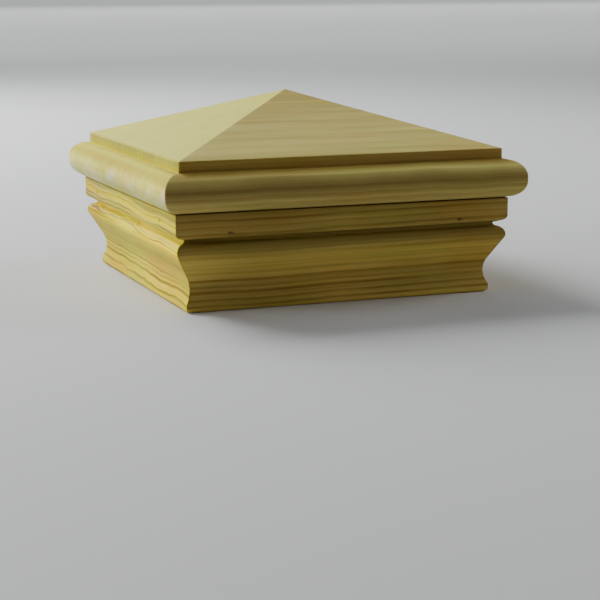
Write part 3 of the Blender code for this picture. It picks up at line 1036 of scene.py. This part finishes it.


# Looks of the pine. Places are in millimetres, colours are linear, and factors multiply the colour.
#   pith, zero, tilt: where the rings' middle lies, in metres, and how it runs along the piece
#   wander, wobble: how far the rings stray, slowly and quickly
#   spacing, fine: distance and strength of the fine rings
#   rings: the strong ones, as (place of the edge, strength, width)
#   early, late, rich: colours of early wood, of late wood, and of early wood where rich_zones says
#   tones, along, redden: factors by ring and by length, and how much redder the dark ones are
#   streak, warm, green: strength of the fibres' streaks and of the warm and green patches
#   end_tints: painted light and shade towards one end, as (which end, height, reach, tint)
#   crease: how dark the painted shade in the groove is
#   inside, far_tint: colour of the hidden faces, and tint of the left end of the band
#   end_zones: end grain, as (height above the top's underside, colour)
# Ring places count from the piece's lower edge, so that on an upright face they are close to heights.
# The tones and tints by height and by length hold some of the shade seen on a real cap, not wood alone.

TOP_LOOK = dict(
    seed=3, pith=(0.0, -2.0), zero=2.0363, tilt=0.0,
    wander=3.5 * MM, wobble=0.6 * MM,
    spacing=2.2 * MM, fine=0.25, streak=1.0,
    warm=0.7, green=0.4, redden=0.2,
    early=(0.68, 0.585, 0.185), late=(0.40, 0.26, 0.06), rich=(0.68, 0.585, 0.185),
    warm_tint=(1.0, 0.88, 0.80),
    # slope_colour: the left slope, whose greener hue is painted cool light; slope_right: the right slope.
    slope_colour=(0.69, 0.69, 0.105),
    slope_right=(0.69, 0.635, 0.15),
    end_right=(0.58, 0.50, 0.16),
    # Painted shade on the front and back risers of the step.
    step_painted_shade=(0.54, 0.42, 0.32),
    # Painted shade in the corner of the ledge and riser.
    ledge_painted_shade=(0.80, 0.71, 0.56),
    shelf_tint=(0.94, 0.93, 0.22),
    rings=[(1.5, 0.25, 1.6), (4.2, 0.45, 1.8), (6.8, 0.6, 1.6), (9.6, 0.4, 1.6)],
    rich_zones=[(0, 0.0), (36, 0.0)],
    # Tones by height: a painted highlight along the top of the bullnose and painted shade across its
    # middle; the slopes grow darker towards the apex.
    tones=[
        (0, 0.74), (2.7, 0.73), (4.7, 0.71), (6.7, 0.62), (8.7, 0.44), (9.7, 0.46), (10.7, 0.52),
        (11.7, 0.65), (12.7, 0.92), (13.4, 1.16), (14.2, 1.1), (15, 1.0), (25, 1.02), (31, 0.9), (38, 0.78),
    ],
    along=[(-70, 1.0), (70, 1.0)],
    # Painted light: the bullnose of the front and back grows lighter towards the right end.
    bullnose_along=[(-70, 0.95), (-30, 1.0), (5, 1.13), (70, 1.13)],
    end_along=[(-70, 1.1), (-40, 1.09), (0, 0.91), (40, 1.0), (70, 1.02)],
    end_zones=[
        (0, (0.59, 0.57, 0.28)), (2.7, (0.57, 0.61, 0.24)), (4.7, (0.60, 0.62, 0.22)),
        (6.7, (0.78, 0.75, 0.22)), (8.7, (0.86, 0.84, 0.16)), (10.7, (0.64, 0.55, 0.07)),
        (12.5, (0.56, 0.44, 0.01)), (13.7, (0.60, 0.57, 0.0)), (14.6, (0.57, 0.50, 0.01)),
        (15.4, (0.50, 0.45, 0.04)), (17.2, (0.41, 0.375, 0.065)), (18.2, (0.80, 0.72, 0.11)),
    ],
)

SKIRT_LOOK = dict(
    pith=(-0.045, -0.09), zero=0.0912, tilt=0.02,
    wander=4 * MM, wobble=0.5 * MM,
    spacing=1.5 * MM, fine=0.5, streak=0.9,
    warm=0.5, green=0.5, redden=0.0, crease=0.3,
    early=(0.58, 0.445, 0.12), late=(0.33, 0.20, 0.035), rich=(0.62, 0.465, 0.10),
    warm_tint=(1.02, 0.88, 0.8),
    # The yellow zone at the ogee is partly the wood's tone and partly a painted highlight.
    rich_zones=[(0, 0.2), (14, 0.2), (17, 1.0), (20, 0.4), (36, 0.3)],
    tones=[(0, 1.0), (36, 1.0)],
    along=[(-70, 1.0), (70, 1.0)],
)

# How the lengths of moulding differ from that, each cut from wood of its own
FRONT_LOOK = dict(
    seed=11, tilt=0.008,
    wander=1.4 * MM, wobble=0.25 * MM,
    fine=0.45, streak=1.2,
    warm=0.8, crease=0.6,
    early=(0.55, 0.40, 0.102), late=(0.25, 0.135, 0.02), rich=(0.60, 0.455, 0.10),
    rings=[
        (2.4, 0.9, 1.2), (4.4, 0.8, 1.0), (6.9, 1.0, 1.2), (8.6, 0.6, 0.8), (11.2, 0.9, 1.3),
        (14.2, 0.5, 1.0), (20.8, 0.5, 1.6), (29.4, 0.8, 1.2), (31.8, 0.6, 0.9), (34.2, 0.7, 1.2),
    ],
    # The yellow zone at the ogee is partly the wood's tone and partly a painted highlight.
    rich_zones=[(0, 0.1), (11, 0.1), (15, 0.8), (20, 0.8), (22, 0.2), (36, 0.1)],
    # Tones by height hold painted light and shade as well as the wood's tone: the foot lighter, as lit from
    # below, and painted shade in the groove and on the band.
    tones=[
        (0, 1.4), (1.5, 1.3), (3, 0.96), (5, 0.93), (7, 1.05), (9, 0.95), (11, 1.1), (13, 1.15),
        (15, 1.08), (17, 1.02), (19, 1.15), (21, 0.97), (22.5, 0.64), (24.5, 0.51), (25.8, 0.70),
        (27, 1.28), (28.5, 0.74), (31, 0.76), (33, 0.75), (35.2, 0.64),
    ],
    # Painted light: lighter in the middle of the length than at the ends.
    along=[(-70, 0.93), (-35, 0.96), (0, 1.15), (35, 1.03), (70, 1.0)],
    # Painted shade in the groove at the left end, and painted light and shade along it at the right end.
    end_tints=[
        (LEFT_END, 25.4, 1.5, (0.7, 0.7, 0.5)),
        (RIGHT_END, 26.1, 1.2, (1.5, 1.6, 1.6)),
        (RIGHT_END, 27.6, 1.0, (0.7, 0.78, 0.95)),
    ],
)
RIGHT_LOOK = dict(
    seed=23, tilt=0.04,
    wander=7 * MM,
    spacing=2.2 * MM, fine=0.3,
    rings=[
        (3.0, 0.7, 1.6), (8.2, 0.8, 1.8), (12.6, 0.8, 1.6), (17.8, 0.6, 2.0), (24.0, 0.8, 1.8),
        (30.6, 0.7, 1.6),
    ],
)
BACK_LOOK = dict(
    seed=37, tilt=-0.03,
    wander=6 * MM,
    spacing=1.9 * MM, fine=0.35,
    rings=[
        (1.8, 0.6, 1.4), (5.6, 0.7, 1.6), (9.6, 0.8, 1.6), (14.4, 0.7, 1.8), (22.0, 0.6, 2.0),
        (28.0, 0.7, 1.6), (33.0, 0.6, 1.6),
    ],
)
LEFT_LOOK = dict(
    seed=5, tilt=-0.015,
    wander=4.4 * MM, wobble=0.9 * MM,
    spacing=1.7 * MM, fine=0.25, streak=1.45,
    warm=0.8, crease=0.1,
    early=(0.78, 0.68, 0.095), late=(0.13, 0.085, 0.008), rich=(0.95, 0.76, 0.0),
    inside=(0.62, 0.47, 0.12),
    warm_tint=(1.05, 0.80, 0.8),
    far_tint=(0.97, 1.0, 1.9),
    rings=[
        (0.9, 0.6, 1.2), (3.8, 0.8, 1.1), (6.8, 0.8, 1.1), (8.6, 0.6, 0.8), (10.6, 0.75, 1.1),
        (17.4, 0.2, 2.0), (21.8, 0.4, 0.8), (23.4, 0.5, 0.7), (24.6, 1.0, 0.9), (25.3, 0.5, 0.45),
        (29.2, 0.7, 1.0), (30.9, 0.7, 1.0), (33.6, 0.5, 1.0),
    ],
    rich_zones=[
        (0, 0.6), (2, 0.5), (4, 0.9), (6, 0.6), (9, 0.4), (12, 0.1), (20, 0.0), (22, 0.6), (23.5, 1.0),
        (25.5, 0.7), (28.5, 0.5), (29.5, 0.3), (31, 0.2), (32.5, 0.9), (33.5, 0.9), (34.5, 0.1), (36, 0.1),
    ],
    # Tones by height and along the length: partly the wood's own, partly painted light and shade, with the
    # top of the band and the far end darker.
    tones=[
        (0, 0.86), (3, 0.97), (8, 0.96), (11, 0.9), (14, 0.82), (19, 0.84), (21.5, 1.08), (23.8, 1.18),
        (25.2, 1.0), (26.5, 1.1), (28, 1.0), (29.5, 0.88), (32, 1.12), (34, 1.12), (35.5, 0.74), (36, 0.74),
    ],
    along=[(-70, 0.82), (-25, 0.9), (0, 1.06), (30, 1.03), (70, 0.98)],
    # Painted light and shade at the ends: the groove lighter and the nose darker at the left end, a painted
    # highlight on the nose at the right end.
    end_tints=[
        (LEFT_END, 25.8, 1.6, (1.35, 1.6, 1.0)),
        (RIGHT_END, 22.9, 1.6, (1.6, 1.58, 1.0)),
        (LEFT_END, 22.7, 1.5, (0.58, 0.56, 0.9)),
    ],
)
SIDE_LOOKS = {"front": FRONT_LOOK, "right": RIGHT_LOOK, "back": BACK_LOOK, "left": LEFT_LOOK}


def brad_marks(side):
    """Where a side's brads enter the wood, in the moulding's grain coordinates."""
    back = Matrix.Rotation(-side_turn(side), 4, "Z")
    marks = []
    for end in ENDS:
        head, along = line_of(f"brad_{side}_{end}")
        marks.append(back @ (head - BRAD_SET * along))
    return marks


def make_cap():
    """All the pieces of the cap."""
    make_top(pine("treated_pine_top", TOP_LOOK, add_top_details))
    for side in SIDES:
        end_axis = ACROSS if side in ("front", "back") else FRONT_TO_BACK
        look = SKIRT_LOOK | SIDE_LOOKS[side]
        wood = pine("treated_pine_" + side, look, add_moulding_details, brad_marks(side), end_axis)
        make_moulding(side, wood)
    make_plate(plywood("treated_plywood"))
    zinc = galvanised("galvanised_steel")
    # Dark zinc for the brads' heads: painted shade, standing for the shade deep in their holes.
    hole_shade_zinc = galvanised("zinc_painted_hole_shade", (0.20, 0.17, 0.14))
    for side in SIDES:
        for end in ENDS:
            make_brad(f"brad_{side}_{end}", hole_shade_zinc)
    for corner in CORNERS:
        make_screw("plate_screw_" + corner, zinc)
        make_staple(corner, zinc)


make_cap()
make_floor()
make_world()
make_lights()
make_camera()
